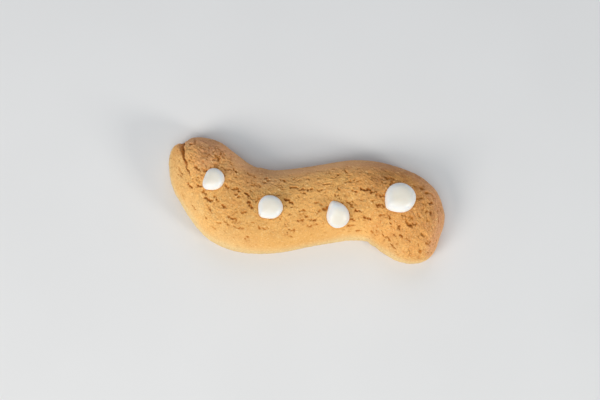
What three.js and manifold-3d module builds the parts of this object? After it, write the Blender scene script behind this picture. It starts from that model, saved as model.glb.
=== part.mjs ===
// A hand-rolled breakfast biscuit: a short rope of shortcrust dough bent into a lazy S and
// baked flat on a tray, split at its left end, with four piped drops of white icing on its crest.
// Millimetres, +Z up. The biscuit stands on z = 0, and the origin is under the middle of its box.
import * as THREE from "three";
import { mergeVertices } from "three/addons/utils/BufferGeometryUtils.js";
import Module from "manifold-3d";

const wasm = await Module();
wasm.setup();

// ---- driving dimensions ----------------------------------------------------------------

// Stations along the ridge, from the left end to the right end: place and crest height, the
// heading of the roll in degrees, and the reach of the dough to the left and right of the ridge.
const STATIONS = [
  { x: -33.7, y: 9.1, crest: 13.0, heading: -45, left: 11.6, right: 11.9 },
  { x: -24.0, y: -0.9, crest: 14.5, heading: -33, left: 14.2, right: 14.3 },
  { x: -12.1, y: -3.2, crest: 15.0, heading: -3, left: 13.3, right: 14.3 },
  { x: 2.1, y: -2.0, crest: 14.5, heading: 5, left: 13.3, right: 12.9 },
  { x: 16.1, y: -0.1, crest: 14.5, heading: -3, left: 13.6, right: 13.0 },
  { x: 25.5, y: -1.2, crest: 15.0, heading: -23, left: 13.2, right: 13.4 },
  { x: 29.6, y: -4.6, crest: 15.0, heading: -40, left: 14.9, right: 13.0 },
  { x: 32.3, y: -8.8, crest: 13.5, heading: -56, left: 14.9, right: 11.6 },
];
// Reach of the two rounded ends at their left diagonal, their tip and their right diagonal.
const LEFT_END = [12.0, 13.8, 11.5];
const RIGHT_END = [11.9, 12.9, 11.5];
// Where a hand pushed the side out (+) or in (-): place on the outline, radius, how far.
const PUSHES = [
  { x: -40.7, y: 20.3, radius: 2.6, out: -0.75 },
  { x: -44.1, y: 4.0, radius: 2.5, out: -0.22 },
  { x: -39.6, y: -4.0, radius: 5.0, out: 0.33 },
  { x: 26.2, y: -18.0, radius: 3.2, out: -0.55 },
  { x: 45.0, y: -9.5, radius: 2.8, out: 0.3 },
  { x: 45.3, y: -1.7, radius: 2.6, out: -0.36 },
  { x: 43.7, y: 2.9, radius: 3.2, out: 0.5 },
];

const BELLY = 3.5; // height of the widest level of the side
const TUCK = 0.14; // how far the foot is drawn in below it, as a share of the reach
const DOME = 2.2; // 2 is an ellipse, more is a flatter crest with steeper shoulders
// The swells that rolling by hand leaves on the crest: height, length along X and along Y, phase.
const SWELLS = [
  { height: 0.18, x: 23, y: 41, phase: 0.4 },
  { height: 0.14, x: 13, y: -17, phase: 2.1 },
  { height: 0.1, x: -9, y: 12, phase: 4.4 },
];

const END_RINGS = 8;
const BODY_RINGS = 56;
const TOP_STRIPS = 38; // strips of faces over the top, from side to side
const FOOT_STRIPS = 10; // and across the underside
const FOOT_ARC = 0.6; // share of the underside's strips that make its rounded edge

// The split runs from the left end along the roll, and the dough on its outer side sits lower.
const SPLIT = [
  { x: -41.2, y: 19.9, half: 1.1, depth: 3.4 },
  { x: -40.9, y: 17.7, half: 1.05, depth: 3.0 },
  { x: -40.45, y: 15.6, half: 0.8, depth: 2.6 },
  { x: -39.7, y: 12.7, half: 0.5, depth: 1.7 },
  { x: -38.6, y: 9.3, half: 0.4, depth: 1.1 },
  { x: -37.2, y: 6.4, half: 0.3, depth: 0.7 },
];
const SPLIT_FLOOR = 4.2; // it is never cut lower than this
const SPLIT_CLEAR = 3; // how much further its blade stands above the dough
const SPLIT_RINGS = 14;
const SPLIT_SIDES = 8;
const STEP = 0.9; // how much lower the outer side sits at the end
const STEP_REACH = 2.5; // distance from the split over which it drops

// The drops of icing: place, size from side to side and up, and what the piping bag did to the
// round: each pull is a direction in degrees, how far it reaches out or in, and its spread.
const DROPS = [
  {
    x: -29.7, y: 5.2, radius: 3.5, height: 2.6,
    pulls: [
      [218, 0.7, 26],
      [160, -0.45, 34],
      [88, 0.2, 34],
    ],
  },
  {
    x: -11.5, y: -4.1, radius: 3.85, height: 2.8,
    pulls: [
      [221, 0.5, 20],
      [130, 0.1, 40],
      [268, -0.2, 34],
      [0, 0.2, 28],
    ],
  },
  {
    x: 10.0, y: -6.9, radius: 3.6, height: 2.7,
    pulls: [
      [110, 0.85, 20],
      [92, 0.85, 55],
    ],
  },
  {
    x: 29.95, y: -1.0, radius: 4.9, height: 3.1,
    pulls: [
      [219, 0.65, 22],
      [270, -0.15, 40],
      [15, 0.15, 30],
    ],
  },
];
const DROP_SIDES = 28;
const DROP_RINGS = 10;
const DROP_FULL = 2.4; // how full the drop's dome is: 2 is an ellipse
const GAP = 0.3; // clearance between the icing and the dough

// ---- the roll of dough -----------------------------------------------------------------

const ridge = new THREE.CatmullRomCurve3(
  STATIONS.map((s) => new THREE.Vector3(s.x, s.y, s.crest)),
);
const spans = new THREE.CatmullRomCurve3(
  STATIONS.map((s) => new THREE.Vector3(s.left, s.right, s.heading)),
);

// The section at a share of the ridge's length: its middle on the ground, the way forward,
// the way left, its crest height and its reaches to the left and right.
function sectionAt(share) {
  const t = ridge.getUtoTmapping(share);
  const { x, y, z } = ridge.getPoint(t);
  const span = spans.getPoint(t);
  const heading = THREE.MathUtils.degToRad(span.z);
  return {
    middle: new THREE.Vector3(x, y, 0),
    forward: new THREE.Vector3(Math.cos(heading), Math.sin(heading), 0),
    side: new THREE.Vector3(-Math.sin(heading), Math.cos(heading), 0),
    crest: z,
    left: span.x,
    right: span.y,
  };
}

// The reach from the middle of a section in the direction that has these parts forward or
// back (end) and to the left (across): from the left side, round the tip, to the right side.
function reachOf(section, end, across) {
  const round = end < 0 ? LEFT_END : RIGHT_END;
  const reaches = [section.left, ...round, section.right];
  const curve = new THREE.SplineCurve(reaches.map((reach, i) => new THREE.Vector2(i, reach)));
  return curve.getPoint(Math.atan2(Math.abs(end), across) / Math.PI).y;
}

// How far the hands pushed the side out at a point of the outline.
function pushAt(point) {
  let push = 0;
  for (const { x, y, radius, out } of PUSHES)
    push += out * Math.exp(-(((point.x - x) ** 2 + (point.y - y) ** 2) / radius ** 2));
  return push;
}

// The side's outline: for a height of -1 to 1 on a unit ball, the share of the reach and the
// real height.
function profile(up, crest) {
  const lift = Math.asin(THREE.MathUtils.clamp(Math.abs(up), 0, 1)) / (Math.PI / 2);
  const angle = (lift * Math.PI) / 2;
  if (up >= 0)
    return {
      share: Math.cos(angle) ** (2 / DOME),
      height: BELLY + (crest - BELLY) * Math.sin(angle) ** (2 / DOME),
    };
  if (lift < FOOT_ARC) {
    const turn = ((lift / FOOT_ARC) * Math.PI) / 2;
    return { share: 1 - TUCK * (1 - Math.cos(turn)), height: BELLY * (1 - Math.sin(turn)) };
  }
  return { share: ((1 - TUCK) * (1 - lift)) / (1 - FOOT_ARC), height: 0 };
}

// The swells of the crest and the step beside the split, as a change of height.
function relief(p) {
  let change = -STEP * stepAt(p);
  for (const swell of SWELLS)
    change += swell.height * Math.sin(2 * Math.PI * (p.x / swell.x + p.y / swell.y) + swell.phase);
  return change;
}

// 1 on the outer side of the split at the left end, easing to 0 over the split and along it.
function stepAt(p) {
  let nearest = { distance: Infinity };
  for (let i = 0; i <= SPLIT_RINGS; i++) {
    const share = i / SPLIT_RINGS;
    const from = p.clone().sub(splitLine.getPoint(share)).setZ(0);
    const distance = from.length();
    if (distance < nearest.distance) nearest = { distance, share, from };
  }
  const tangent = splitLine.getTangent(nearest.share);
  const outward = tangent.y * nearest.from.x - tangent.x * nearest.from.y;
  return THREE.MathUtils.smoothstep(outward, -0.5, STEP_REACH) * (1 - nearest.share);
}

// The angle of a strip's edge round the section: the top from 0 to half a turn, then the underside.
function stripAngle(edge) {
  return edge <= TOP_STRIPS
    ? (Math.PI * edge) / TOP_STRIPS
    : Math.PI * (1 + (edge - TOP_STRIPS) / FOOT_STRIPS);
}

// A unit capsule standing on Y becomes the flattened, bent roll.
function rollGeometry() {
  const strips = TOP_STRIPS + FOOT_STRIPS;
  const capsule = new THREE.CapsuleGeometry(1, 2, END_RINGS, strips, BODY_RINGS);
  const position = capsule.getAttribute("position");
  const p = new THREE.Vector3();
  for (let i = 0; i < position.count; i++) {
    p.fromBufferAttribute(position, i);
    const end = Math.sign(p.y) * Math.max(0, Math.abs(p.y) - 1); // 0 on the body, to 1 at the tip
    const section = sectionAt(THREE.MathUtils.clamp((p.y + 1) / 2, 0, 1));
    const round = Math.hypot(p.x, p.z);
    const turn = stripAngle(i % (strips + 1));
    const across = round * Math.cos(turn);
    const { share, height } = profile(round * Math.sin(turn), section.crest);
    const outward = new THREE.Vector3()
      .addScaledVector(section.forward, end)
      .addScaledVector(section.side, across)
      .normalize();
    const fullReach = reachOf(section, end, across);
    const push = pushAt(section.middle.clone().addScaledVector(outward, fullReach));
    p.copy(section.middle).addScaledVector(outward, share * (fullReach + push));
    p.setZ(height + (relief(p) * Math.max(0, height - BELLY)) / (section.crest - BELLY));
    position.setXYZ(i, p.x, p.y, p.z);
  }
  return weld(capsule);
}

// One closed surface: shared vertices merged, and the faces that collapsed at the poles dropped.
function weld(geometry) {
  geometry.deleteAttribute("normal");
  geometry.deleteAttribute("uv");
  const merged = mergeVertices(geometry, 1e-4);
  const index = merged.index.array;
  const kept = [];
  for (let i = 0; i < index.length; i += 3) {
    const [a, b, c] = index.slice(i, i + 3);
    if (a !== b && b !== c && c !== a) kept.push(a, b, c);
  }
  merged.setIndex(kept);
  merged.computeVertexNormals();
  return merged;
}

// ---- the split -------------------------------------------------------------------------

const splitLine = new THREE.CatmullRomCurve3(SPLIT.map((s) => new THREE.Vector3(s.x, s.y, 0)));
const splitSize = new THREE.CatmullRomCurve3(
  SPLIT.map((s) => new THREE.Vector3(s.half, s.depth, 0)),
);

// A unit capsule becomes the blade that opens the split: rounded below the dough's surface,
// and wide and tall above it.
function splitGeometry(dough) {
  const blade = new THREE.CapsuleGeometry(1, 2, 3, SPLIT_SIDES, SPLIT_RINGS);
  const position = blade.getAttribute("position");
  const p = new THREE.Vector3();
  for (let i = 0; i < position.count; i++) {
    p.fromBufferAttribute(position, i);
    const end = Math.sign(p.y) * Math.max(0, Math.abs(p.y) - 1);
    const share = THREE.MathUtils.clamp((p.y + 1) / 2, 0, 1);
    const size = splitSize.getPoint(share);
    const along = splitLine.getTangent(share);
    const middle = splitLine.getPoint(share);
    const across = new THREE.Vector3(along.y, -along.x, 0);
    const { x, z } = p;
    const wide = z > 0 ? Math.sign(x) * Math.abs(x) ** 0.3 : x;
    const tall = z > 0 ? size.y + SPLIT_CLEAR : size.y;
    p.copy(middle)
      .addScaledVector(along, end * size.x)
      .addScaledVector(across, wide * size.x);
    p.setZ(Math.max(SPLIT_FLOOR, surfaceAt(dough, middle).point.z + z * tall));
    position.setXYZ(i, p.x, p.y, p.z);
  }
  return weld(blade);
}

// The dough's surface straight below a place: its point and its normal. Past the edge of the
// dough the height is the belly's.
function surfaceAt(dough, place) {
  const sky = new THREE.Vector3(place.x, place.y, 100);
  const [hit] = new THREE.Raycaster(sky, new THREE.Vector3(0, 0, -1)).intersectObject(dough);
  if (hit) return { point: hit.point, normal: hit.face.normal };
  return { point: new THREE.Vector3(place.x, place.y, BELLY), normal: new THREE.Vector3(0, 0, 1) };
}

// ---- the drops of icing ----------------------------------------------------------------

// A drop standing on Z: a full dome whose rim and underside follow the dough, with its round
// pulled out or in. The dough is given in the drop's own frame.
function dropGeometry({ radius, height, pulls }, dough) {
  const ball = new THREE.SphereGeometry(1, DROP_SIDES, DROP_RINGS);
  ball.rotateX(Math.PI / 2);
  const position = ball.getAttribute("position");
  const p = new THREE.Vector3();
  for (let i = 0; i < position.count; i++) {
    p.fromBufferAttribute(position, i);
    const direction = THREE.MathUtils.radToDeg(Math.atan2(p.y, p.x));
    let reach = radius;
    for (const [toward, pull, spread] of pulls) {
      const away = THREE.MathUtils.euclideanModulo(direction - toward + 180, 360) - 180;
      reach += pull * Math.exp(-((away / spread) ** 2));
    }
    const round = Math.hypot(p.x, p.y) || 1;
    const scale = reach * round ** (2 / DROP_FULL - 1);
    const lift = Math.max(0, p.z) ** (2 / DROP_FULL);
    p.multiplyScalar(scale);
    const seat = surfaceAt(dough, p).point.z + GAP;
    position.setXYZ(i, p.x, p.y, seat * (1 - lift) + height * lift);
  }
  return weld(ball);
}

// ---- joining and cutting ---------------------------------------------------------------

function solidOf(geometry) {
  const vertProperties = Float32Array.from(geometry.getAttribute("position").array);
  const triVerts = Uint32Array.from(geometry.index.array);
  return new wasm.Manifold(new wasm.Mesh({ numProp: 3, vertProperties, triVerts }));
}

function geometryOf(solid) {
  const { vertProperties, triVerts } = solid.getMesh();
  const geometry = new THREE.BufferGeometry();
  geometry.setAttribute("position", new THREE.BufferAttribute(vertProperties, 3));
  geometry.setIndex(new THREE.BufferAttribute(triVerts, 1));
  geometry.computeVertexNormals();
  return geometry;
}

function cut(geometry, cutter) {
  return geometryOf(solidOf(geometry).subtract(solidOf(cutter)));
}

// ---- the biscuit -----------------------------------------------------------------------

const biscuit = new THREE.Group();
const crumb = new THREE.MeshStandardMaterial({ color: 0xd09a58, roughness: 0.9, metalness: 0 });
const icing = { color: 0xf2f0ec, roughness: 0.45, metalness: 0 };
const UP = new THREE.Vector3(0, 0, 1);

const dough = new THREE.Mesh(rollGeometry(), crumb);
dough.name = "biscuit";
biscuit.add(dough);

DROPS.forEach((drop, i) => {
  const mesh = new THREE.Mesh(undefined, new THREE.MeshStandardMaterial(icing));
  const seat = surfaceAt(dough, drop);
  mesh.name = `icing_dot_${i + 1}`;
  mesh.position.copy(seat.point);
  mesh.quaternion.setFromUnitVectors(UP, seat.normal);
  mesh.updateMatrix();
  const toDrop = mesh.matrix.clone().invert();
  mesh.geometry = dropGeometry(drop, new THREE.Mesh(dough.geometry.clone().applyMatrix4(toDrop)));
  biscuit.add(mesh);
});

dough.geometry = cut(dough.geometry, splitGeometry(dough));

const middle = new THREE.Box3().setFromObject(dough).getCenter(new THREE.Vector3()).setZ(0);
for (const piece of biscuit.children) piece.position.sub(middle);

export default biscuit;
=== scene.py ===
import itertools
import math

import bpy
import numpy as np
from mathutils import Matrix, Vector
from mathutils.bvhtree import BVHTree


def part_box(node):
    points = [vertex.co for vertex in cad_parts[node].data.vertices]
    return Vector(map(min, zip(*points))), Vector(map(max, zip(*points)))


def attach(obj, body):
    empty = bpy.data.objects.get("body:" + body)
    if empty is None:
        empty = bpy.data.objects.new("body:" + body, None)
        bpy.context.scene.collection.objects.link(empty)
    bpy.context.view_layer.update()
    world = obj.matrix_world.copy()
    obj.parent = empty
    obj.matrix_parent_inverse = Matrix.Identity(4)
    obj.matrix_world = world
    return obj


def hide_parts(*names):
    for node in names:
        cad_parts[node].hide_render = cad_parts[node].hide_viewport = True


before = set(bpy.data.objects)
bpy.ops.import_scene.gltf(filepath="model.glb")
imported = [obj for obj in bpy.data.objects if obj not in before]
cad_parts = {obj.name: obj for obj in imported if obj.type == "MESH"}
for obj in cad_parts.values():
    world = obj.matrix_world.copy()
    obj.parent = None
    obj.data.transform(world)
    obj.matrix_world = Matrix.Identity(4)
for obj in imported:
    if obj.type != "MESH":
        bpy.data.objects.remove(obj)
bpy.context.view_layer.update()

MM = 0.001
NOISE_SEED = 7
CRACK_SEED = 10  # for the places of the small fissures and pits

# ---- the roll's driving sizes, in mm -------------------------------------------------------

# Stations along the ridge: x, y, crest height, heading in degrees, reach to left and right.
STATIONS = np.array([
    (-33.7, 9.1, 13.0, -45, 11.6, 11.9),
    (-24.0, -0.9, 14.5, -33, 14.2, 14.3),
    (-12.1, -3.2, 15.0, -3, 13.3, 14.3),
    (2.1, -2.0, 14.5, 5, 13.3, 12.9),
    (16.1, -0.1, 14.5, -3, 13.6, 13.0),
    (25.5, -1.2, 15.0, -23, 13.2, 13.4),
    (29.6, -4.6, 15.0, -40, 14.9, 13.0),
    (32.3, -8.8, 13.5, -56, 14.9, 11.6),
])
LEFT_END = (12.0, 13.8, 11.5)  # reach at the left diagonal, the tip and the right diagonal
RIGHT_END = (11.9, 12.9, 11.5)
# Where a hand pushed the side out or in: x, y, radius, how far.
PUSHES = [(-40.7, 20.3, 2.6, -0.75), (-44.1, 4.0, 2.5, -0.22), (-39.6, -4.0, 5.0, 0.33),
          (26.2, -18.0, 3.2, -0.55), (45.0, -9.5, 2.8, 0.3), (45.3, -1.7, 2.6, -0.36),
          (43.7, 2.9, 3.2, 0.5)]
BELLY = 3.5  # height of the widest level of the sides
DOME = 2.2  # power of the rounded top: 2 is an ellipse, and more is fuller
TUCK = 0.14  # share of the reach by which the foot turns under
FOOT_ARC = 0.6  # share of the quarter turn below the belly that the foot's edge takes
# Slow swells of the crest: height, length along x and y, phase.
SWELLS = [(0.18, 23, 41, 0.4), (0.14, 13, -17, 2.1), (0.1, -9, 12, 4.4)]

# The split's line, from the left end of the roll: x, y, half width and depth.
SPLIT = np.array([
    (-41.2, 19.9, 1.1, 3.4),
    (-40.9, 17.7, 1.05, 3.0),
    (-40.45, 15.6, 0.75, 2.6),
    (-39.9, 13.45, 0.45, 2.2),
    (-39.4, 11.9, 0.36, 1.9),
    (-38.95, 10.15, 0.33, 1.5),
    (-38.3, 8.6, 0.3, 1.3),
    (-37.4, 6.85, 0.22, 0.9),
])
SPLIT_FLOOR = 4.2  # about the lowest level that it is cut down to
FLOOR_ROUGHNESS = 0.3  # how unevenly it ends there
STEP = 0.9  # how much lower the dough outside it lies, at the end of the roll
STEP_FROM, STEP_TO = -0.5, 2.5  # where that step begins and ends, outward from its line
LIP = 0.3  # how far the dough curls up along its inner side
LIP_REACH = 1.8  # how far inward the curl fades
CORNER = 0.5  # how far that side is rounded off at the end of the roll

# How finely the roll's skin is divided: rings on an end and the body, strips over and under.
END_RINGS, BODY_RINGS, TOP_STRIPS, FOOT_STRIPS = 54, 300, 196, 28

# ---- patches of the crust ------------------------------------------------------------------

# Soft round patches: x, y, reach along x and y, and how much they add at the middle.
# Browner crust, or less brown below 0.
BROWNED = [
    (-33, 15.5, 8, 6, 0.42), (-30, 12.5, 3.5, 3, 0.12), (-19, 5, 5, 4, 0.2), (25, 10, 9, 3.5, 0.2),
    (22, 5, 6, 5, 0.3), (35.5, -17.5, 7, 4.5, -0.25), (-42, 16, 2.5, 3, 0.2), (-35, -3, 8, 7, -0.2),
    (-25, -10, 8, 6, -0.08), (10, -12, 20, 5, -0.06), (-36, 19.2, 4, 2, 0.12),
    (-24, -3, 6, 5, 0.12),
]
# Lighter crust, or darker below 0: uneven tone, and partly painted shade on the far flank, on the
# lobe and in the inner bend's valley.
TONES_AND_SHADE = [
    (-35, 0, 8, 12, 0.11), (-7, 0, 7, 6, -0.1), (-18, -3, 7, 5, -0.05), (-5, -13, 18, 6, -0.06),
    (40, -9, 7, 12, 0.1), (30, -16, 6, 5, 0.05), (-33, 15, 7, 6, -0.07), (24, 9.5, 9, 4, -0.12),
    (44, -8, 3, 9, 0.08), (-12, 4.5, 8, 5, -0.11), (-29, 12.5, 3.5, 3, -0.06),
    (-36.5, 11.5, 2.5, 4, 0.14), (25, 4.8, 4, 2.5, -0.16), (-8, -7.5, 5, 3, 0.1),
    (26.5, -10, 7, 4, 0.16), (-32, -9, 5, 4.5, 0.1), (-41, 14, 2.5, 4, 0.05),
    (38.5, -11, 4, 3, 0.05), (-32, 15, 4, 4, -0.08), (-35.5, 9, 3, 3.5, 0.09),
    (32, -18.2, 5, 2.4, 0.1), (-24, 1, 5, 3, -0.08), (-11, 1, 6, 2.5, -0.09),
    (40.5, -14.5, 3.5, 3.5, 0.14), (39.5, 3.5, 3, 3, -0.06), (-36.5, 6, 2.5, 4, 0.07),
    (31.5, -8.5, 5, 3, 0.06), (-13.5, 8.5, 4, 2.5, -0.1), (34, -21.8, 4, 1.8, -0.08),
    (-26, 13, 3, 3, 0.12), (2, -7, 4, 2.5, 0.06), (-25, -6, 5, 3.5, 0.05),
    (-17.5, -7, 3, 2.5, -0.06),
]
# Crumblier crust with more fissures, or smoother below 0.
CRUMBLY = [
    (38, -6, 9, 12, 0.4), (-29, -9, 7, 5, 0.45), (-40, 6, 4, 9, 0.18), (-30, 15, 6, 5, -0.1),
    (-17, 6, 6, 4.5, -0.4), (0, 6.5, 16, 5, -0.35), (2, -1, 8, 6, -0.22), (-27, -2, 7, 6, 0.2),
]
# Paler crust.
PALE = [
    (-43, 8, 5, 9, 0.4), (-29, -14.5, 9, 5.5, 0.4), (-38, -6, 5, 8, 0.45), (27.5, -18, 5, 4, 0.35),
    (14, -12.5, 8, 3.5, 0.2), (-17, -15.5, 10, 3.5, 0.14), (-38.5, 15.5, 2, 3.5, 0.2),
]
# Painted shade: redder, darker crust as on the far flank, away from the key light, or less so below
# 0.
FAR_SHADE_PATCHES = [
    (-31.8, 14.4, 4.4, 4.2, 0.6), (-33, 9, 5, 3.5, 0.3), (-12, 4, 5, 3, 0.3),
    (33, 6.5, 8, 4.5, -0.35), (-2, 3.5, 12, 3.5, 0.18), (-20, 3, 6, 4, 0.2), (18, 8, 6, 3, 0.15),
    (-25, 8.5, 3.5, 3, 0.35),
]
# Where the small fissures and pits are shallower, by this share.
CALM = [(33, -14, 8, 8, 0.45), (-33, -3, 8, 8, 0.45), (-12, -12, 14, 4, 0.25)]
LOBE = (-31.8, 14.4, 4.4, 4.2, 1.0)  # the lobe beside the split, finely cracked all over
FAR_BLEND = 3  # how far from the ridge the near side turns into the far side
RIGHT_FROM, RIGHT_TO = 22, 32  # where along x the crust of the right end begins and is full
# Share of the crest's height where crumbs begin, far and near, and where they are full.
CRUMBS_FAR, CRUMBS_NEAR, CRUMBS_FULL = 0.42, 0.55, 0.95
SIDE_CRUMB = 0.42  # how crumbly the sides are, low down
# How brown the crust is, and what the right end, the sides and the foot add to that.
BROWN, BROWN_RIGHT, BROWN_SIDES, BROWN_FOOT = 0.42, 0.4, -0.22, 0.3

# ---- relief of the crust -------------------------------------------------------------------

# Heights on smooth dough in mm, and what fully crumbly dough adds to them.
SWELL, ROUGH_SWELL = 0.1, 0.05  # slow unevenness
STREAKS, ROUGH_STREAKS = 0.02, 0.05  # drawn out along the roll
CRUMBS, ROUGH_CRUMBS = 0.035, 0.2
FINE_CRUMBS = 0.14  # on crumbly dough only
LOBE_CRUMBS = 0.1  # what the lobe adds to the crumbs
RIGHT_STREAKS = 0.5  # share of the rough streaks that is missing at the right end
RIGHT_CRUMBS = 0.04  # height of the rough crumbs that is missing there
SHADED_LESS = 0.35  # share of the relief that is missing on the far flank
FLAKE = 0.13  # how far the dough flakes up beside a fissure, as a share of its depth
FLAKE_PLACE, FLAKE_WIDTH = 1.5, 0.5  # where that is, in half widths from the fissure's middle
CUT_POWER = 1.6  # of a fissure's section: more is flatter at the bottom
CRACK_DEPTH = 0.3  # of the thin cracks
CRACK_WIDTH = 0.14  # how far from 0 the noise may be in them
RAGGED = 0.36  # how far the edges of fissures and the split wander

# ---- fissures ------------------------------------------------------------------------------

# The main fissures: x and y in the CAD frame, length, depth, and turn from the roll's direction.
FISSURES = [
    (-19.0, -0.3, 1.8, 0.8, 0), (-22.5, 1.6, 2.6, 0.6, 10), (-25.5, 2.5, 1.8, 0.5, 0),
    (-31.5, -1.5, 2.4, 0.7, 5), (-37.6, 3.5, 2.0, 0.7, -20), (-34.8, 8.6, 2.6, 0.6, 0),
    (-32.7, 7.7, 1.4, 0.7, 0), (-26.2, -4.0, 2.2, 0.6, 10), (-24.2, -7.2, 2.0, 0.6, 0),
    (-22.5, -8.2, 1.4, 0.5, 0), (-20.0, -5.9, 1.4, 0.6, 0), (-17.7, -3.5, 2.8, 0.9, -35),
    (-15.7, -2.2, 1.4, 0.6, 60), (-5.5, -2.2, 3.0, 0.8, -25), (-3.8, -4.2, 2.0, 0.5, 0),
    (-4.4, 2.3, 2.2, 0.6, -10), (-1.1, 1.5, 1.8, 0.6, 5), (-8.7, 3.1, 2.4, 0.4, -10),
    (-12.6, 4.5, 3.0, 0.35, 25), (-18.3, 7.0, 4.0, 0.5, 0), (-14.5, -10.8, 2.0, 0.5, -25),
    (-21.2, -11.0, 1.8, 0.5, 20), (-5.0, -11.5, 3.0, 0.45, 5), (-1.9, -8.4, 2.2, 0.45, 0),
    (-0.5, -6.6, 1.6, 0.5, -20), (0.9, -10.1, 1.4, 0.35, -20), (-33.0, 0.6, 1.8, 0.5, 0),
    (-29.0, -1.3, 2.6, 0.5, -10), (19.0, 1.5, 3.2, 0.9, -5), (21.5, 0.6, 1.8, 0.8, -10),
    (23.7, -0.4, 2.6, 0.6, 0), (15.4, 1.1, 1.8, 0.6, -10), (13.5, 4.2, 2.0, 0.5, 10),
    (10.1, 6.5, 1.6, 0.5, 25), (10.3, 2.0, 1.6, 0.5, -25), (4.5, 1.2, 1.6, 0.5, 25),
    (1.0, 1.7, 1.8, 0.6, 20), (6.3, 3.2, 2.2, 0.4, 15), (26.8, 5.4, 2.6, 0.8, 15),
    (27.3, 3.6, 1.4, 0.6, 60), (37.8, 3.0, 2.0, 1.0, 100), (40.0, -2.2, 2.0, 1.3, 70),
    (36.6, -1.4, 2.0, 0.5, 55), (39.4, -5.0, 2.0, 0.85, 62), (23.9, -3.8, 3.0, 0.7, 20),
    (32.8, -9.7, 2.0, 0.9, 10), (34.6, -9.7, 1.6, 0.7, 60), (31.3, -7.6, 2.4, 0.5, 0),
    (27.8, -16.4, 2.0, 0.8, 10), (26.1, -14.0, 2.2, 0.6, 0), (21.5, -12.0, 1.8, 0.35, -25),
    (19.5, -7.5, 2.4, 0.65, -15), (16.8, -5.2, 2.2, 0.55, -10), (13.9, -3.1, 2.4, 0.65, -30),
    (6.2, -4.3, 2.0, 0.7, 10), (3.9, -6.0, 1.6, 0.4, 35), (3.1, -7.7, 1.4, 0.5, 30),
    (14.5, -9.6, 2.6, 0.45, 5), (17.0, -11.4, 2.0, 0.6, 0), (3.4, -2.6, 1.2, 0.5, 0),
    (38.7, -14.2, 3.4, 0.25, -10), (36.3, -17.6, 1.4, 0.5, -15), (38.8, 1.3, 1.8, 0.65, 60),
    (35.9, -6.3, 1.6, 0.5, 20), (37.6, -12.8, 1.6, 0.5, 30), (38.9, -15.6, 1.8, 0.5, 30),
    (30.4, -13.2, 1.4, 0.5, 0), (32.3, -14.3, 1.6, 0.45, 10), (29.5, -10.7, 1.4, 0.5, -20),
    (33.6, -7.5, 1.4, 0.5, 30), (34.8, 3.2, 1.4, 0.5, 20), (-36.9, 17.9, 2.6, 0.75, 75),
    (-34.5, 3.0, 1.8, 0.65, 20), (-19.0, -13.5, 1.6, 0.3, 0), (-36.5, -3.5, 1.6, 0.45, 0),
    (-31.0, -4.5, 3.2, 0.45, -10), (-28.0, -9.0, 1.5, 0.4, 0), (-25.5, -9.0, 2.0, 0.5, 0),
    (28.5, -13.0, 1.5, 0.5, 0), (36.5, -20.0, 1.2, 0.5, 0), (26.0, -7.5, 1.8, 0.6, 20),
    (8.5, 9.0, 1.6, 0.45, 0), (-9.5, -8.5, 1.8, 0.25, 0), (-22.0, -0.5, 1.8, 0.55, 0),
]
# A main fissure is this much longer and deeper than its row says, and widens with its depth.
LONGER, DEEPER = 1.1, 1.4
NARROWEST, WIDER = 0.42, 0.6
# A fissure is a chain of strokes of about this length, scattered to the sides and turned.
STROKE, STROKE_SCATTER, STROKE_TURN = 0.9, 0.2, 22
SMALL_FISSURES, PITS = 600, 700
# More small marks: how many, the ranges of length, width and depth, and how far they turn.
LOBE_CRACKS = (80, (0.5, 1.5), (0.35, 0.55), (0.28, 0.62), 40)
FLANK_PITS = (800, (0.4, 1.1), (0.35, 0.5), (0.15, 0.42), 30)
TOP = 0.05  # least share of the crest's height for any random mark

# ---- the drops of icing --------------------------------------------------------------------

# Place, radius, height, and the pulls on the round: direction, reach and spread in degrees.
DROPS = [
    (-29.7, 5.2, 3.5, 2.6, [(218, 0.7, 26), (160, -0.45, 34), (88, 0.2, 34)]),
    (-11.5, -4.1, 3.85, 2.8, [(221, 0.5, 20), (130, 0.1, 40), (268, -0.2, 34), (0, 0.2, 28)]),
    (10.0, -6.9, 3.6, 2.7, [(110, 0.85, 20), (92, 0.85, 55)]),
    (29.95, -1.0, 4.9, 3.1, [(219, 0.65, 22), (270, -0.15, 40), (15, 0.15, 30)]),
]
DROP_FULL = 2.4  # power of a drop's dome: 2 is an ellipse, and more is fuller
DROP_RIM = 0.3  # height of its widest part above the dough
DROP_ROOT = 0.7  # how far it reaches down from there, into the dough
DROP_SIDES, DROP_RINGS = 96, 48
DROP_OUTLINE, DROP_TOP = 0.012, 0.06  # unevenness: a share of the outline, and mm on top
OVERHEAD, ABOVE = 40, 12  # heights from which the dough is sought under a drop and its rim
CONTACT_SHADE_WIDTH, CONTACT_SHADE_DARK = 0.4, 0.4  # painted contact shadow on the dough round a drop: how wide and how dark it is

# ---- colours and light ---------------------------------------------------------------------

# The dough's crust as it browns, and what is mixed into it.
BAKED = [(0.0, (0.87, 0.545, 0.205)), (0.35, (0.85, 0.458, 0.138)),
         (0.7, (0.76, 0.36, 0.104)), (1.0, (0.62, 0.27, 0.088))]
# Painted shade: the redder, darker tint of the far flank, away from the key light.
FAR_SHADE_CRUST, FAR_SHADE_MOST = (0.765, 0.413, 0.275), 0.48
PALE_CRUST, PALE_MOST = (0.875, 0.695, 0.37), 0.66
DARK_GRAIN, DARK_MOST = (0.52, 0.24, 0.075), 0.42
# Light specks in the crust, made stronger to stand in for glints on lit crumb edges: partly painted
# highlight.
LIGHT_SPECKS_AND_GLINTS, LIGHT_MOST = (0.95, 0.65, 0.29), 0.6
# Darker, redder brown in fissures, the split and round the drops: partly the crust's colour inside,
# partly painted shade in these recesses.
SHADED_HOLLOW_BROWN, SHADED_HOLLOW_MOST = (0.52, 0.19, 0.028), 0.92
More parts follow.
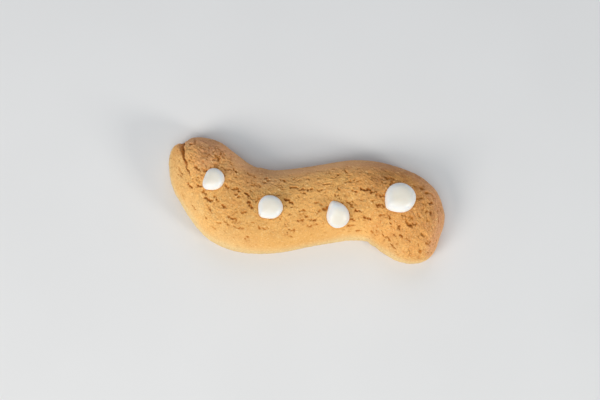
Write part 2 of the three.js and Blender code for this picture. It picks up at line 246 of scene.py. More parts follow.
# Icing: creamy on top; painted shade makes it cooler and darker round the shoulder, and painted
# light makes the thin edge brighter and warm.
CREAM = [(0.3, (0.80, 0.742, 0.632)), (0.7, (0.82, 0.762, 0.652))]
SHOULDER_SHADE, THIN_EDGE_LIGHT = (0.825, 0.825, 0.805), (0.98, 0.94, 0.87)
FLOOR_SHADES = [(0.3, (0.712, 0.702, 0.688)), (0.7, (0.727, 0.717, 0.703))]
FLOOR_HALF = 1500  # half the width of the floor
FLOOR_DROP = 0.02  # how far it lies below the biscuit, so that no faces coincide

# Round soft lights: name, azimuth and elevation, distance, size, power and colour.
LIGHTS = [
    ("key", 219, 37, 900, 420, 4.4, (1.0, 0.947, 0.902)),
    ("second", 328, 23, 900, 220, 3.15, (1.0, 0.977, 0.93)),
    ("overhead", 260, 66, 700, 480, 1.6, (0.9, 1.0, 1.06)),
    ("back", 90, 45, 900, 700, 1.65, (0.9, 0.97, 1.12)),
]
SKY_STRENGTH, SKY_COLOUR = 0.185, (0.93, 1.0, 1.08)
CAMERA_ELEVATION, CAMERA_DISTANCE, CAMERA_AIM = 80, 328, (-2.0, -0.36, 6)
LENS, SENSOR = 60, 36


# ---- noise ---------------------------------------------------------------------------------

NOISE_PERIOD = 1024
NOISE_GAIN = 1.6  # brings it to about -1 to 1
SEED_GAP = 7.3  # how far apart the seeds lie in the noise
LAYER_FADE = 0.55  # strength of a layer, as a share of the last one's
LAYER_SEED = 0.37  # step of the seed from layer to layer
_draw = np.random.default_rng(NOISE_SEED)
SHUFFLE = _draw.permutation(NOISE_PERIOD)
SLOPES = _draw.normal(size=(NOISE_PERIOD, 3))
SLOPES /= np.linalg.norm(SLOPES, axis=1)[:, None]


# ---- curves --------------------------------------------------------------------------------

def rounded_path(points, t):
    """The centripetal curve through the points, at shares t of its spans."""
    ends = np.vstack([2 * points[0] - points[1], points, 2 * points[-1] - points[-2]])
    spans = len(points) - 1
    place = np.clip(np.asarray(t, float) * spans, 0, spans)
    first = np.minimum(place.astype(int), spans - 1)
    w = (place - first)[:, None]
    p0, p1, p2, p3 = (ends[first + k] for k in range(4))
    d0, d1, d2 = (np.sqrt(np.linalg.norm(b - a, axis=1))[:, None] for a, b in
                  ((p0, p1), (p1, p2), (p2, p3)))
    out = ((p1 - p0) / d0 - (p2 - p0) / (d0 + d1) + (p2 - p1) / d1) * d1
    into = ((p2 - p1) / d1 - (p3 - p1) / (d1 + d2) + (p3 - p2) / d2) * d1
    return (p1 + out * w + (3 * (p2 - p1) - 2 * out - into) * w**2
            + (2 * (p1 - p2) + out + into) * w**3)


def even_shares(points, shares):
    """Turns shares of the path's length into shares of its spans."""
    t = np.linspace(0, 1, 201)
    steps = np.linalg.norm(np.diff(rounded_path(points, t), axis=0), axis=1)
    length = np.concatenate([[0], np.cumsum(steps)])
    return np.interp(np.asarray(shares) * length[-1], length, t)


def through(values, t):
    """A smooth run through the columns of values, with t from 0 to 1 across them."""
    last = values.shape[-1] - 1
    place = np.clip(t * last, 0, last)
    first = np.minimum(place.astype(int), last - 1)
    w = place - first
    v0, v1, v2, v3 = (np.take_along_axis(values, np.clip(first + k, 0, last)[..., None], -1)[..., 0]
                      for k in (-1, 0, 1, 2))
    a, b = (v2 - v0) / 2, (v3 - v1) / 2
    return v1 + a * w + (3 * (v2 - v1) - 2 * a - b) * w**2 + (2 * (v1 - v2) + a + b) * w**3


def smooth(x, low, high):
    """Rises smoothly from 0 at low to 1 at high."""
    t = np.clip((x - low) / (high - low), 0, 1)
    return t * t * (3 - 2 * t)


def noise_at(points, size, seed):
    """Smooth gradient noise, about -1 to 1, with features of this size, or one size an axis."""
    place = points / np.asarray(size, float) + SEED_GAP * seed
    cell = np.floor(place).astype(np.int64)
    inside = place - cell
    ease = inside**3 * (inside * (inside * 6 - 15) + 10)
    total = np.zeros(len(points))
    for corner in itertools.product((0, 1), repeat=3):
        x, y, z = ((cell + corner) % NOISE_PERIOD).T
        slope = SLOPES[(SHUFFLE[(SHUFFLE[x] + y) % NOISE_PERIOD] + z) % NOISE_PERIOD]
        weight = np.prod(np.where(corner, ease, 1 - ease), axis=1)
        total += weight * np.sum((inside - corner) * slope, axis=1)
    return NOISE_GAIN * total


def layered(points, size, seed, layers):
    """Noise in layers, each half the size of the last and LAYER_FADE as strong."""
    return sum(LAYER_FADE**k * noise_at(points, np.asarray(size) / 2**k, seed + LAYER_SEED * k)
               for k in range(layers))


def patches_at(points, patches):
    """The sum of soft round patches: x, y, reach along x and y, and height of each."""
    return sum(more * np.exp(-((points[:, 0] - x) / long) ** 2 - ((points[:, 1] - y) / wide) ** 2)
               for x, y, long, wide, more in patches)


# ---- the roll ------------------------------------------------------------------------------

def roll_rings():
    """The share of the ridge, the way into an end (-1 to 1) and the roundness of each ring."""
    into = np.linspace(0, math.pi / 2, END_RINGS + 1)[:-1]
    share = np.concatenate([np.zeros(END_RINGS), np.linspace(0, 1, BODY_RINGS + 1),
                            np.ones(END_RINGS)])
    end = np.concatenate([-np.cos(into), np.zeros(BODY_RINGS + 1), np.cos(into[::-1])])
    return share, end, np.sqrt(1 - end**2)


def strip_angles():
    """The angles round a section: over the top, then back across the underside."""
    top = np.linspace(0, math.pi, TOP_STRIPS, endpoint=False)
    return np.concatenate([top, np.linspace(math.pi, 2 * math.pi, FOOT_STRIPS, endpoint=False)])


def profile(up, crest):
    """The share of the reach and the height at a height of -1 to 1 on a unit ball."""
    angle = np.arcsin(np.clip(np.abs(up), 0, 1))
    lift = angle / (math.pi / 2)
    over = np.cos(angle) ** (2 / DOME), BELLY + (crest - BELLY) * np.sin(angle) ** (2 / DOME)
    turn = np.minimum(lift / FOOT_ARC, 1) * math.pi / 2
    edge = 1 - TUCK * (1 - np.cos(turn))
    under = np.where(lift < FOOT_ARC, edge, (1 - TUCK) * (1 - lift) / (1 - FOOT_ARC))
    return (np.where(up >= 0, over[0], under),
            np.where(up >= 0, over[1], BELLY * (1 - np.sin(turn))))


def split_at(xy):
    """The place of each point by the split's line: how far across it, with the outer side
    positive, the distance to it, the share along it, and its half width and depth there."""
    share = np.linspace(0, 1, 121)
    line = rounded_path(SPLIT[:, :2], share)
    size = rounded_path(SPLIT[:, 2:], share)
    tangent = np.gradient(line, axis=0)
    tangent /= np.linalg.norm(tangent, axis=1)[:, None]
    near = np.array([np.argmin(np.sum((line - p) ** 2, axis=1)) for p in xy])
    off = xy - line[near]
    t = tangent[near]
    return (t[:, 1] * off[:, 0] - t[:, 0] * off[:, 1], np.linalg.norm(off, axis=1),
            share[near], size[near, 0], size[near, 1])


def roll_points():
    """The roll's smooth surface, its flow direction, its place along, across and up the
    straightened roll, and the share of the crest's height, one row a point: rings of points,
    each ring all round the section."""
    share, end, round_ = roll_rings()
    ridge = STATIONS[:, :3]
    t = even_shares(ridge, share)
    x, y, crest = rounded_path(ridge, t).T
    left, right, heading = rounded_path(STATIONS[:, [4, 5, 3]], t).T
    heading = np.radians(heading)
    forward = np.stack([np.cos(heading), np.sin(heading)], 1)
    side = np.stack([-np.sin(heading), np.cos(heading)], 1)

    turn = strip_angles()[None, :]
    across = round_[:, None] * np.cos(turn)
    share_of_reach, height = profile(round_[:, None] * np.sin(turn), crest[:, None])
    ends = np.where(end[:, None] < 0, LEFT_END, RIGHT_END)
    reaches = np.concatenate([left[:, None], ends, right[:, None]], 1)
    reaches = np.repeat(reaches[:, None], turn.size, 1)
    toward = np.arctan2(np.abs(end)[:, None], across) / math.pi
    full_reach = through(reaches, toward)
    flat = np.hypot(end[:, None], across)
    ahead, aside = end[:, None] / flat, across / flat
    middle = np.stack([x, y], 1)[:, None]
    outward = forward[:, None] * ahead[..., None] + side[:, None] * aside[..., None]
    rim = middle + outward * full_reach[..., None]
    full_reach += sum(out * np.exp(-np.sum((rim - (px, py)) ** 2, -1) / radius**2)
                      for px, py, radius, out in PUSHES)
    reach = share_of_reach * full_reach
    ahead, aside = ahead * reach, aside * reach
    xy = middle + outward * reach[..., None]

    length = np.concatenate([[0], np.cumsum(np.hypot(np.diff(x), np.diff(y)))])
    straight = np.stack([length[:, None] + ahead, aside, height], -1).reshape(-1, 3)
    points = np.concatenate([xy, height[..., None]], -1).reshape(-1, 3)
    flow = np.repeat(forward[:, None], turn.size, 1).reshape(-1, 2)
    rise = (np.maximum(0, height - BELLY) / (crest[:, None] - BELLY)).reshape(-1)

    change = sum(h * np.sin(2 * math.pi * (points[:, 0] / lx + points[:, 1] / ly) + phase)
                 for h, lx, ly, phase in SWELLS)
    outward, _, along, _, _ = split_at(points[:, :2])
    change -= STEP * smooth(outward, STEP_FROM, STEP_TO) * (1 - along)
    points[:, 2] += rise * change
    return points, flow, straight, rise


def roll_mesh(name, points):
    """The closed skin of quads over the rings of points, with the tips fanned shut."""
    columns = TOP_STRIPS + FOOT_STRIPS
    rings = len(points) // columns
    i, j = np.meshgrid(np.arange(rings - 1), np.arange(columns), indexing="ij")
    k = (j + 1) % columns
    quads = np.stack([i * columns + j, i * columns + k, (i + 1) * columns + k,
                      (i + 1) * columns + j], -1).reshape(-1, 4).tolist()
    first = points[:columns].mean(0)
    last = points[-columns:].mean(0)
    low, high = len(points), len(points) + 1
    start = (rings - 1) * columns
    fans = [(low, (c + 1) % columns, c) for c in range(columns)]
    fans += [(high, start + c, start + (c + 1) % columns) for c in range(columns)]
    mesh = bpy.data.meshes.new(name)
    mesh.from_pydata(np.vstack([points, first, last]) * MM, [], quads + fans)
    mesh.validate()
    mesh.shade_smooth()
    return mesh


def surface_normals(mesh):
    normals = np.zeros(len(mesh.vertices) * 3, np.float32)
    mesh.vertex_normals.foreach_get("vector", normals)
    return normals.reshape(-1, 3).astype(float)


# ---- fissures and pits ---------------------------------------------------------------------

def fissures(points, normals, flow, strokes):
    """How deep the strokes cut at each point, and how far their edges flake up. A stroke is x,
    y, a length, a width, a depth and a turn from the flow; its edges are ragged."""
    ragged = np.stack([layered(points, size=0.8, seed=seed, layers=3) for seed in (1, 2, 3)], 1)
    moved = points + RAGGED * ragged
    depth, flake = np.zeros(len(points)), np.zeros(len(points))
    order = np.argsort(points[:, 0])
    order = order[normals[order, 2] > 0]
    sorted_x = points[order, 0]
    for x, y, length, width, deep, turn in strokes:
        reach = length / 2 + width
        lo, hi = np.searchsorted(sorted_x, (x - reach, x + reach))
        near = order[lo:hi]
        gap = np.hypot(points[near, 0] - x, points[near, 1] - y)
        if not len(near) or gap.min() > 1:  # off the roll
            continue
        middle = near[np.argmin(gap)]
        near = near[gap < reach]
        c, s = math.cos(math.radians(turn)), math.sin(math.radians(turn))
        fx, fy = flow[middle]
        along = np.array([fx * c - fy * s, fx * s + fy * c, 0])
        along -= normals[middle] * along.dot(normals[middle])
        along /= np.linalg.norm(along)
        across = np.cross(normals[middle], along)
        off = moved[near] - points[middle]
        taper = np.sqrt(np.clip(1 - (off @ along / (length / 2)) ** 2, 0, 1))
        aside = np.abs(off @ across) / (width / 2 * np.maximum(taper, 1e-6))
        depth[near] = np.maximum(depth[near], deep * taper * np.clip(1 - aside**CUT_POWER, 0, 1))
        edge = deep * taper * np.exp(-(((aside - FLAKE_PLACE) / FLAKE_WIDTH) ** 2))
        flake[near] = np.maximum(flake[near], edge)
    return depth, flake


def broken_up(strokes, flow_at, rng):
    """Each fissure as a chain of short, uneven strokes that overlap."""
    chain = []
    for x, y, length, width, deep, turn in strokes:
        fx, fy = flow_at(x, y)
        a = math.atan2(fy, fx) + math.radians(turn)
        count = max(1, round(length / STROKE))
        for k in range(count):
            ahead = length * ((k + 0.5) / count - 0.5)
            aside = rng.normal(0, STROKE_SCATTER) if count > 1 else 0
            chain.append((x + ahead * math.cos(a) - aside * math.sin(a),
                          y + ahead * math.sin(a) + aside * math.cos(a),
                          length / count * rng.uniform(1.2, 1.7), width * rng.uniform(0.6, 1.35),
                          deep * rng.uniform(0.75, 1.2), turn + rng.normal(0, STROKE_TURN)))
    return chain


def scattered(points, where, weight, marks, rng):
    """Strokes at random places among these points, more often where there is more weight."""
    count, lengths, widths, depths, turn = marks
    return [(*points[index, :2], rng.uniform(*lengths), rng.uniform(*widths),
             rng.uniform(*depths), rng.normal(0, turn))
            for index in rng.choice(where, count, p=weight / weight.sum())]


def make_strokes(points, crumbly, rise, flow, shift):
    """The main fissures at their places, then seeded small fissures and pits where the crust is
    crumbly, fine cracks on the lobe, and pits on the smoother flanks."""
    rng = np.random.default_rng(CRACK_SEED)
    top = np.flatnonzero(rise > TOP)
    strokes = [(x - shift[0], y - shift[1], length * LONGER, NARROWEST + WIDER * deep,
                DEEPER * deep, turn) for x, y, length, deep, turn in FISSURES]
    lobe = patches_at(points[top], [LOBE])
    weight = crumbly[top] + 0.05 + 0.35 * lobe
    calm = 1 - patches_at(points, CALM)
    full = (0.5 + 0.5 * smooth(crumbly, 0, 0.4)) * calm
    for index in rng.choice(top, SMALL_FISSURES, p=weight / weight.sum()):
        big = rng.beta(1.3, 3.2)
        x, y = points[index, :2]
        wander = 26 + 24 * smooth(x, 22, 36)  # the roll turns there, and its cracks scatter
        strokes.append((x, y, 0.6 + 2.2 * big, 0.3 + 0.45 * big * full[index],
                        (0.2 + 0.7 * big) * full[index], rng.normal(0, wander)))

    def flow_at(x, y):
        return flow[top[np.argmin(np.hypot(points[top, 0] - x, points[top, 1] - y))]]

    strokes = broken_up(strokes, flow_at, rng)
    weight += 1.2 * lobe
    for index in rng.choice(top, PITS, p=weight / weight.sum()):
        size = 0.35 + 0.5 * rng.beta(1.3, 2.5)
        strokes.append((*points[index, :2], size, size, 0.45 * size * calm[index], 0))
    strokes += scattered(points, top, lobe, LOBE_CRACKS, rng)
    strokes += scattered(points, top, 1 - smooth(crumbly[top], 0.1, 0.6), FLANK_PITS, rng)
    return strokes


def crack_lines(points, straight):
    """Thin broken cracks along the roll: where slow noise changes sign, in patches."""
    wander = 0.5 * np.stack([noise_at(points, size=1.6, seed=seed) for seed in (41, 42, 43)], 1)
    lines = layered(straight + wander, size=(2.6, 1.2, 1.2), seed=44, layers=3)
    patches = smooth(layered(points, size=2.6, seed=45, layers=2), 0.15, 0.5)
    return patches * np.clip(1 - np.abs(lines) / CRACK_WIDTH, 0, 1)


# ---- the crust -----------------------------------------------------------------------------

def crumbliness(points, rise, far, right):
    """How crumbly the crust is, from 0 up: on the crest, further down on its far side, and all
    over the right end."""
    level = rise + 0.1 * noise_at(points, size=5, seed=51)
    crumbly = (far * smooth(level, CRUMBS_FAR, CRUMBS_FULL)
               + (1 - far) * smooth(level, CRUMBS_NEAR, CRUMBS_FULL))
    crumbly = np.maximum(crumbly, right * smooth(rise, 0.1, 0.5))
    crumbly += patches_at(points, CRUMBLY) * smooth(rise, 0.05, 0.4)
    return np.maximum(crumbly, 0)


def crumb_relief(points, straight, rise, crumbly, right, streaks):
    """How far the crumbs and the unevenness stand out, without the flakes beside fissures."""
    rough = np.minimum(crumbly, 1)
    swell = noise_at(straight, size=(9, 5, 5), seed=15)
    crumbs = layered(points, size=1.0, seed=13, layers=3)
    lobe = patches_at(points, [LOBE])
    height = CRUMBS + (ROUGH_CRUMBS - RIGHT_CRUMBS * right) * rough + LOBE_CRUMBS * lobe
    return ((SWELL + ROUGH_SWELL * rough) * swell * smooth(rise, 0, 0.3)
            + (STREAKS + ROUGH_STREAKS * rough * (1 - RIGHT_STREAKS * right)) * streaks
            + height * crumbs + FINE_CRUMBS * crumbly * noise_at(points, size=0.5, seed=17))


def split_open(points, relief, cut):
    """The relief with the split's lips added, the cut without the fissures that lie in the
    split, the split's depth, and the share along it."""
    ragged = np.stack([layered(points, size=1.5, seed=seed, layers=2) for seed in (21, 22)], 1)
    across, off, along, half, deep = split_at(points[:, :2] + RAGGED * ragged)
    inside = -across - half
    curl = smooth(inside, -0.1, 0.5) * np.exp(-((inside / LIP_REACH) ** 2)) * (1 - along)
    relief = relief + LIP * curl * smooth(along, 0.02, 0.14)
    relief -= CORNER * np.exp(-np.maximum(inside, 0) ** 2) * (1 - smooth(along, 0, 0.1))
    beyond = np.sqrt(np.maximum(0, off**2 - across**2))
    hole = deep * smooth(-inside, -0.12, 0.22) * np.clip(1 + inside / (2 * half), 0, 1) ** 0.8
    uneven = 1 + 0.45 * layered(points, size=0.9, seed=24, layers=3)
    hole *= (1 - smooth(beyond, 0, 0.6)) * uneven
    return relief, cut * smooth(off / half, 0.8, 1.4), hole, along


def crust_values(points, rise, far, right, crumbly, streaks, shaded, cut, opening):
    """What the dough's material needs to know at each point, by name."""
    foot = 1 - smooth(points[:, 2], 0.4, BELLY)
    browned = BROWN + BROWN_RIGHT * smooth(points[:, 0], 16, 36)
    browned += BROWN_SIDES * (1 - smooth(rise, 0.1, 0.6))
    browned += patches_at(points, BROWNED)
    browned += 0.12 * noise_at(points, size=9, seed=31) + 0.06 * streaks + BROWN_FOOT * foot
    pale = (1 - smooth(rise, 0, 0.62)) * (1 - 0.8 * far) * (1 - 0.55 * foot)
    pale += patches_at(points, PALE) * (1 - foot)
    # Painted shade on the far flank, fading towards the crest, and in patches.
    painted_far_shade = shaded * (0.6 + 0.4 * smooth(rise, 0.05, 0.4)) + patches_at(points, FAR_SHADE_PATCHES)
    # Painted contact shadow round the drops, mixed into the dark colour of the hollows.
    contact_shade = CONTACT_SHADE_DARK * drop_contact_shade(points)
    return {
        # Partly the crust's own darker brown, partly painted shade: deep in fissures, in the
        # split's opening, and as contact shadow round the drops.
        "hollow_brown_and_shade": np.maximum.reduce([smooth(cut, 0.03, 0.52), opening, contact_shade]),
        "coarse": (0.5 + 0.5 * crumbly + 0.12 * right) * (1 - 0.15 * shaded),
        # Lighter and darker patches, partly painted shade.
        "tone": 1 + patches_at(points, TONES_AND_SHADE),
        "painted_far_shade": np.clip(painted_far_shade, 0, 1),
        "pale": np.clip(pale, 0, 1),
        "browned": np.clip(browned, 0, 1),
    }


def biscuit():
    """The baked roll: crumb relief that follows the roll, fissures, pits and the split end. The
    smooth roll that the drops sit on comes with it, and so does the shift to the CAD frame."""
    points, flow, straight, rise = roll_points()
    low, high = (np.array(c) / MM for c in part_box("biscuit"))
    shift = (low + high)[:2] / 2 - (points.min(0) + points.max(0))[:2] / 2
    normals = surface_normals(roll_mesh("smooth_roll", points))[: len(points)]

    far = smooth(straight[:, 1], -FAR_BLEND, FAR_BLEND)
    right = smooth(points[:, 0], RIGHT_FROM, RIGHT_TO)
    shaded = far * (1 - smooth(rise, 0.5, 0.97))
    crumbly = crumbliness(points, rise, far, right)
    strokes = make_strokes(points, crumbly, rise, flow, shift)
    cut, flake = fissures(points, normals, flow, strokes)
    cut *= 1 + 0.5 * layered(points, size=0.8, seed=16, layers=2)
    cut = np.maximum(cut, CRACK_DEPTH * (crack_lines(points, straight) * crumbly))

    crumbly = np.maximum(crumbly, SIDE_CRUMB * (1 - smooth(rise, 0.2, 0.5)))
    streaks = layered(straight, size=(3.0, 1.3, 1.3), seed=11, layers=2)
    relief = crumb_relief(points, straight, rise, crumbly, right, streaks) + FLAKE * flake
    relief *= 1 - SHADED_LESS * shaded
    relief, cut, hole, along = split_open(points, relief, cut)

    grounded = smooth(points[:, 2], 0.15, 1.5)  # the underside stays flat
    moved = points + normals * ((relief - cut) * grounded)[:, None]
    split_floor = SPLIT_FLOOR + FLOOR_ROUGHNESS * (1 + noise_at(points, size=1.5, seed=53))
    opened = np.maximum(moved[:, 2] - hole, np.minimum(moved[:, 2], split_floor))
    removed = moved[:, 2] - opened
    moved[:, 2] = np.maximum(opened, 0)
    moved[:, :2] += shift

    mesh = roll_mesh("biscuit_dough", moved)
    # The split's opening, darker: partly painted shade in the recess.
    opening = smooth(removed, 0.2, 1.2) * (0.55 + 0.45 * smooth(along, 0.15, 0.4))
    values = crust_values(points, rise, far, right, crumbly, streaks, shaded, cut, opening)
    for name, value in values.items():
        add_values(mesh, name, value)
    piece = bpy.data.objects.new("biscuit_dough", mesh)
    base = roll_mesh("smooth_roll", points + np.append(shift, 0))
    return piece, base, shift


def drop_contact_shade(points):
    """Painted contact shadow: 1 along the outlines of the drops, fading beside them."""
    edges = np.zeros(len(points))
    for x, y, radius, _, pulls in DROPS:
        off = points[:, :2] - (x, y)
        reach = reach_toward(np.degrees(np.arctan2(off[:, 1], off[:, 0])), radius, pulls)
        edges = np.maximum(edges, np.exp(-(((np.hypot(*off.T) - reach) / CONTACT_SHADE_WIDTH) ** 2)))
    return edges


def reach_toward(direction, radius, pulls):
    """A drop's reach in each direction, in degrees."""
    reach = np.full(len(direction), float(radius))
    for toward, pull, spread in pulls:
        away = (direction - toward + 180) % 360 - 180
        reach += pull * np.exp(-((away / spread) ** 2))
    return reach


def add_values(mesh, name, values):
    """A number for each point, for the material; the two tips take their neighbours'."""
    attribute = mesh.attributes.new(name, "FLOAT", "POINT")
    ends = [values[0], values[-1]]
    attribute.data.foreach_set("value", np.concatenate([values, ends]).astype(np.float32))


# ---- the icing -----------------------------------------------------------------------------

def drop(name, base, place, radius, height, pulls, seed):
    """A piped drop: a full dome whose rim follows the dough, on a root that sinks into it."""
    ground, normal, _, _ = base.ray_cast(Vector((*place, OVERHEAD)) * MM, Vector((0, 0, -1)))
    ground = ground / MM
    turn = np.array(Vector((0, 0, 1)).rotation_difference(normal).to_matrix())
    up = np.array(normal)

    rows = DROP_RINGS - 1
    lat = np.linspace(math.pi / 2, -math.pi / 2, DROP_RINGS + 1)[1:-1]
    lon = np.linspace(0, 2 * math.pi, DROP_SIDES, endpoint=False)
    reach = reach_toward(np.degrees(lon), radius, pulls)
    lat, lon = (grid.ravel() for grid in np.meshgrid(lat, lon, indexing="ij"))
    out = np.tile(reach, rows) * np.cos(lat) ** (2 / DROP_FULL)
    flat = np.stack([out * np.cos(lon), out * np.sin(lon), np.zeros(len(out))], 1)
    flat = np.vstack([[0, 0, 0], flat, [0, 0, 0]])
    sines = np.concatenate([[1], np.sin(lat), [-1]])
    lift = np.maximum(0, sines) ** (2 / DROP_FULL)
    flat *= 1 + DROP_OUTLINE * noise_at(flat, size=2.0, seed=seed)[:, None]
    above = np.array(ground) + flat @ turn.T + ABOVE * up
    hits = [base.ray_cast(Vector(p) * MM, -normal)[3] for p in above]
    seat = np.array([ABOVE - (d / MM if d else ABOVE) for d in hits]) + DROP_RIM
    rise = seat * (1 - lift) + height * lift + DROP_ROOT * np.minimum(0, sines)
    rise += DROP_TOP * lift * noise_at(flat, size=2.4, seed=seed + 0.5)
    points = np.array(ground) + np.column_stack([flat[:, :2], rise]) @ turn.T

    faces = [(0, 1 + c, 1 + (c + 1) % DROP_SIDES) for c in range(DROP_SIDES)]
    for r in range(rows - 1):
        a, b = 1 + r * DROP_SIDES, 1 + (r + 1) * DROP_SIDES
        faces += [(a + c, b + c, b + (c + 1) % DROP_SIDES, a + (c + 1) % DROP_SIDES)
                  for c in range(DROP_SIDES)]
    last, bottom = 1 + (rows - 1) * DROP_SIDES, 1 + rows * DROP_SIDES
    faces += [(bottom, last + (c + 1) % DROP_SIDES, last + c) for c in range(DROP_SIDES)]
    mesh = bpy.data.meshes.new(name)
    mesh.from_pydata(points * MM, [], faces)
    mesh.shade_smooth()
    rim = mesh.attributes.new("rim", "FLOAT", "POINT")
    rim.data.foreach_set("value", (1 - lift).astype(np.float32))
    return bpy.data.objects.new(name, mesh)


# ---- materials -----------------------------------------------------------------------------

class Nodes:
    """A short way to build a material's nodes."""

    def __init__(self, name):
        self.material = bpy.data.materials.new(name)
        self.material.use_nodes = True
        self.tree = self.material.node_tree
        self.shader = self.tree.nodes["Principled BSDF"]
        self.place = self.add("ShaderNodeTexCoord").outputs["Object"]

    def add(self, kind, **settings):
        node = self.tree.nodes.new(kind)
        for key, value in settings.items():
            setattr(node, key, value)
        return node

    def link(self, source, target):
        self.tree.links.new(source, target)

    def noise(self, size_mm, detail=2.0, roughness=0.5):
        node = self.add("ShaderNodeTexNoise")
        node.inputs["Scale"].default_value = 1 / (size_mm * MM)
        node.inputs["Detail"].default_value = detail
        node.inputs["Roughness"].default_value = roughness
        self.link(self.place, node.inputs["Vector"])
        return node.outputs["Fac"]

    def grains(self, size_mm):
        node = self.add("ShaderNodeTexVoronoi")
        node.inputs["Scale"].default_value = 1 / (size_mm * MM)
        self.link(self.place, node.inputs["Vector"])
        return node.outputs["Distance"]

    def value_of(self, name):
        """A value that the mesh holds for each point."""
        return self.add("ShaderNodeAttribute", attribute_name=name).outputs["Fac"]

    def spread(self, value, low, high, to_low=0.0, to_high=1.0):
        """Turns low to high into to_low to to_high, smoothly, and holds it at both ends."""
        node = self.add("ShaderNodeMapRange", interpolation_type="SMOOTHSTEP")
        for key, number in zip(("From Min", "From Max", "To Min", "To Max"),
                               (low, high, to_low, to_high)):
            node.inputs[key].default_value = number
        self.link(value, node.inputs["Value"])
        return node.outputs["Result"]

    def sum(self, a, b, factor=1.0):
        """a plus factor times b."""
        node = self.add("ShaderNodeMath", operation="MULTIPLY_ADD")
        self.link(b, node.inputs[0])
        node.inputs[1].default_value = factor
        self.link(a, node.inputs[2])
        return node.outputs[0]

    def times(self, a, b):
        node = self.add("ShaderNodeMath", operation="MULTIPLY")
        self.link(a, node.inputs[0])
        self.link(b, node.inputs[1])
        return node.outputs[0]

    def ramp(self, value, stops):
        node = self.add("ShaderNodeValToRGB")
        node.color_ramp.interpolation = "EASE"
        elements = node.color_ramp.elements
        while len(elements) < len(stops):
            elements.new(0.5)
        for element, (position, colour) in zip(elements, stops):
            element.position = position
            element.color = (*colour, 1)
        self.link(value, node.inputs["Fac"])
        return node.outputs["Color"]

    def mix(self, factor, a, b, blend="MIX"):
        node = self.add("ShaderNodeMix", data_type="RGBA", blend_type=blend)
        for key, value in (("Factor", factor), ("A", a), ("B", b)):
            socket = next(s for s in node.inputs if s.name == key and s.enabled)
            if isinstance(value, bpy.types.NodeSocket):
                self.link(value, socket)
            else:
                socket.default_value = (*value, 1) if isinstance(value, tuple) else value
        return next(s for s in node.outputs if s.enabled)

    def bump(self, height, strength, distance_mm):
        node = self.add("ShaderNodeBump")
        node.inputs["Strength"].default_value = strength
        node.inputs["Distance"].default_value = distance_mm * MM
        self.link(height, node.inputs["Height"])
        self.link(node.outputs["Normal"], self.shader.inputs["Normal"])


def dough_material():
    """Dry baked shortcrust: gold, paler low on the sides, redder brown where it baked longer, with
    painted shade on the far flank, in the hollows and in some patches.
    """
    n = Nodes("baked_dough")
    browned, hollow_brown_and_shade = n.value_of("browned"), n.value_of("hollow_brown_and_shade")
    mottle = n.noise(2.2, 3)
    coarse = n.value_of("coarse")
    tone = n.sum(browned, n.times(n.spread(mottle, 0.3, 0.7, -0.12, 0.12), coarse))
    crust = n.ramp(tone, BAKED)
    # Painted shade: the far flank's redder, darker tint.
    crust = n.mix(n.spread(n.value_of("painted_far_shade"), 0, 1, 0, FAR_SHADE_MOST), crust, FAR_SHADE_CRUST)
    crust = n.mix(n.spread(n.value_of("pale"), 0, 1, 0, PALE_MOST), crust, PALE_CRUST)
    # Multiplies in the lighter and darker patches, partly painted shade.
    crust = n.mix(1.0, crust, n.value_of("tone"), "MULTIPLY")
    grain = n.spread(n.noise(0.5, 3, 0.7), 0.36, 0.64, 0, DARK_MOST)
    crust = n.mix(n.times(grain, coarse), crust, DARK_GRAIN)
    # Light specks, partly painted highlights of lit crumb edges.
    crust = n.mix(n.spread(n.noise(0.6, 2), 0.58, 0.72, 0, LIGHT_MOST), crust, LIGHT_SPECKS_AND_GLINTS)
    # Darker brown in fissures, the split and round the drops, partly painted shade.
    crust = n.mix(n.spread(hollow_brown_and_shade, 0, 1, 0, SHADED_HOLLOW_MOST), crust, SHADED_HOLLOW_BROWN)
    n.link(crust, n.shader.inputs["Base Color"])
    n.link(n.spread(mottle, 0.2, 0.8, 0.78, 0.95), n.shader.inputs["Roughness"])
    n.shader.inputs["Specular IOR Level"].default_value = 0.15
    height = n.sum(n.noise(0.42, 3, 0.6), n.grains(0.55), 0.5)
    n.bump(n.times(height, coarse), strength=0.9, distance_mm=0.28)
    return n.material


def icing_material():
    """Set white icing: satin, and a little light goes into it."""
    n = Nodes("white_icing")
    rim = n.value_of("rim")
    tint = n.ramp(n.noise(3.5, 2), CREAM)
    # Painted shade round the shoulder, then painted light at the thin edge.
    tint = n.mix(n.spread(rim, 0, 0.45), tint, SHOULDER_SHADE)
    tint = n.mix(n.spread(rim, 0.35, 0.8), tint, THIN_EDGE_LIGHT)
    n.link(tint, n.shader.inputs["Base Color"])
    n.link(n.spread(n.noise(0.9, 2), 0.3, 0.7, 0.34, 0.46), n.shader.inputs["Roughness"])
    n.shader.inputs["Subsurface Weight"].default_value = 0.6
    n.shader.inputs["Subsurface Radius"].default_value = (1.0, 0.9, 0.8)
    n.shader.inputs["Subsurface Scale"].default_value = 0.8 * MM
    n.bump(n.noise(0.6, 2), strength=0.12, distance_mm=0.08)
    return n.material


def floor_material():
    n = Nodes("pale_floor")
    n.link(n.ramp(n.noise(60, 2), FLOOR_SHADES), n.shader.inputs["Base Color"])
    n.shader.inputs["Roughness"].default_value = 0.85
    n.shader.inputs["Specular IOR Level"].default_value = 0.2
    return n.material


# ---- floor, light and camera ---------------------------------------------------------------

def show(piece):
    bpy.context.scene.collection.objects.link(piece)


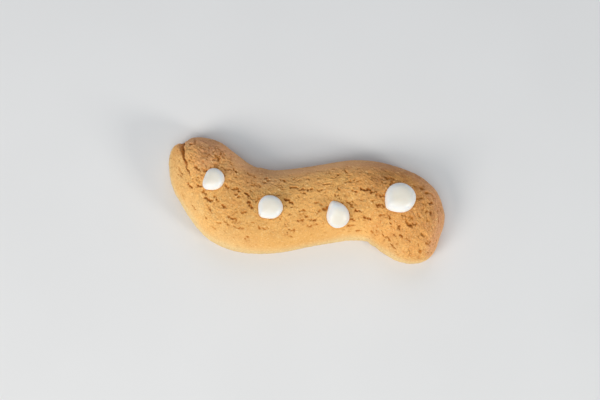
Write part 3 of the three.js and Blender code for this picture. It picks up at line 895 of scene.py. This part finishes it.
def floor():
    half = FLOOR_HALF * MM
    mesh = bpy.data.meshes.new("floor")
    corners = [(-half, -half, 0), (half, -half, 0), (half, half, 0), (-half, half, 0)]
    mesh.from_pydata(corners, [], [(0, 1, 2, 3)])
    mesh.materials.append(floor_material())
    plane = bpy.data.objects.new("floor", mesh)
    plane.location.z = -FLOOR_DROP * MM
    show(plane)


def soft_light(name, azimuth, elevation, distance, size, power, colour):
    """A round soft light aimed at the origin, in degrees and mm."""
    data = bpy.data.lights.new(name, "AREA")
    data.shape = "DISK"
    data.size = size * MM
    data.energy = power
    data.color = colour
    a, e = math.radians(azimuth), math.radians(elevation)
    away = Vector((math.cos(a) * math.cos(e), math.sin(a) * math.cos(e), math.sin(e)))
    lamp = bpy.data.objects.new(name, data)
    lamp.location = away * distance * MM
    lamp.rotation_euler = away.to_track_quat("Z", "Y").to_euler()
    show(lamp)


def daylight():
    world = bpy.data.worlds.new("sky")
    world.use_nodes = True
    background = world.node_tree.nodes["Background"]
    background.inputs["Color"].default_value = (*SKY_COLOUR, 1)
    background.inputs["Strength"].default_value = SKY_STRENGTH
    bpy.context.scene.world = world


def camera():
    """Ten degrees off straight down, seen from the front."""
    elevation = math.radians(CAMERA_ELEVATION)
    data = bpy.data.cameras.new("camera")
    data.lens = LENS
    data.sensor_width = SENSOR
    view = bpy.data.objects.new("camera", data)
    back = Vector((0, -math.cos(elevation), math.sin(elevation)))
    view.location = (Vector(CAMERA_AIM) + back * CAMERA_DISTANCE) * MM
    view.rotation_euler = (-back).to_track_quat("-Z", "Y").to_euler()
    show(view)
    bpy.context.scene.camera = view


# ---- the scene -----------------------------------------------------------------------------

def main():
    dough, base, shift = biscuit()
    dough.data.materials.append(dough_material())
    show(dough)
    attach(dough, "root")
    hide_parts("biscuit")

    surface = BVHTree.FromPolygons([v.co for v in base.vertices],
                                   [tuple(p.vertices) for p in base.polygons])
    icing = icing_material()
    for i, (x, y, radius, height, pulls) in enumerate(DROPS, 1):
        piece = drop(f"icing_drop_{i}", surface, (x + shift[0], y + shift[1]), radius, height,
                     pulls, i)
        piece.data.materials.append(icing)
        show(piece)
        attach(piece, "root")
        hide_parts(f"icing_dot_{i}")

    floor()
    for light in LIGHTS:
        soft_light(*light)
    daylight()
    camera()
    bpy.context.scene.view_settings.view_transform = "Standard"


main()
